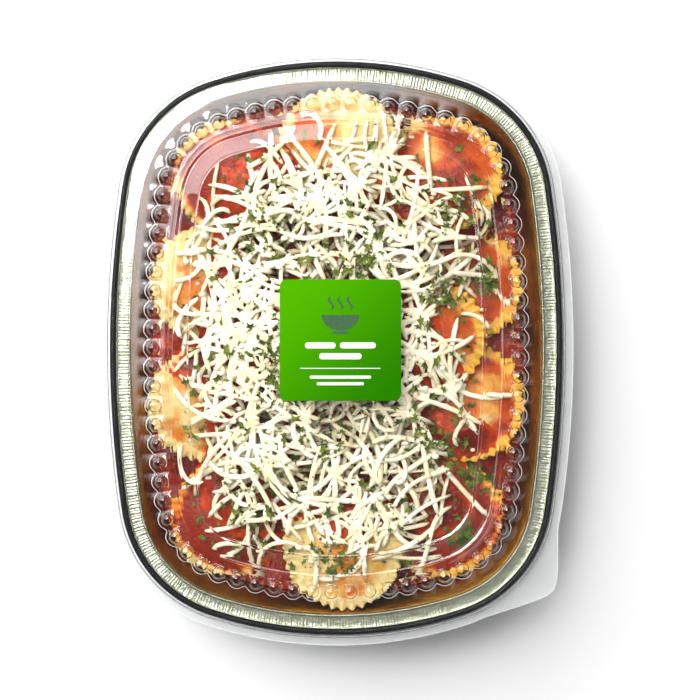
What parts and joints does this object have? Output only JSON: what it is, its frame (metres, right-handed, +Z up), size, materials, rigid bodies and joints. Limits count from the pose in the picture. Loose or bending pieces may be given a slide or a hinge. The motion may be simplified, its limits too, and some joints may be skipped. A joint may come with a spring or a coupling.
{
  "type": "foil tray meal",
  "caption": "Ravioli in tomato sauce under shredded cheese and chopped herbs, in a gold foil tray with a clear press-fit dome lid and a square label.",
  "frame": {"origin": "on the table, under the middle of the tray's flat base", "axes": "+X across the tray, +Y along it, away from the lid's pull tab, and +Z up through the lid"},
  "size_m": [0.2048, 0.2568, 0.0625],
  "materials": {
    "gold_foil": "pressed foil with a gold lacquer inside",
    "black_lacquer": "black lacquer on the outside and the rolled rim",
    "clear_plastic": "clear thermoformed sheet",
    "label_print": "satin printed label",
    "pasta": "cooked egg pasta, moist",
    "tomato_sauce": "grainy glossy tomato sauce",
    "white_cheese": "shredded white cheese",
    "herb": "chopped green herb"
  },
  "bodies": {
    "root": {"tray": "gold_foil", "lid": "clear_plastic", "label": "label_print", "sauce": "tomato_sauce", "cheese": "white_cheese", "ravioli_01": "pasta", "ravioli_02": "pasta", "ravioli_03": "pasta", "ravioli_04": "pasta", "ravioli_05": "pasta", "ravioli_06": "pasta", "ravioli_07": "pasta", "ravioli_08": "pasta", "ravioli_09": "pasta", "ravioli_10": "pasta", "ravioli_11": "pasta", "ravioli_12": "pasta", "ravioli_13": "pasta", "ravioli_14": "pasta"}
  },
  "joints": []
}
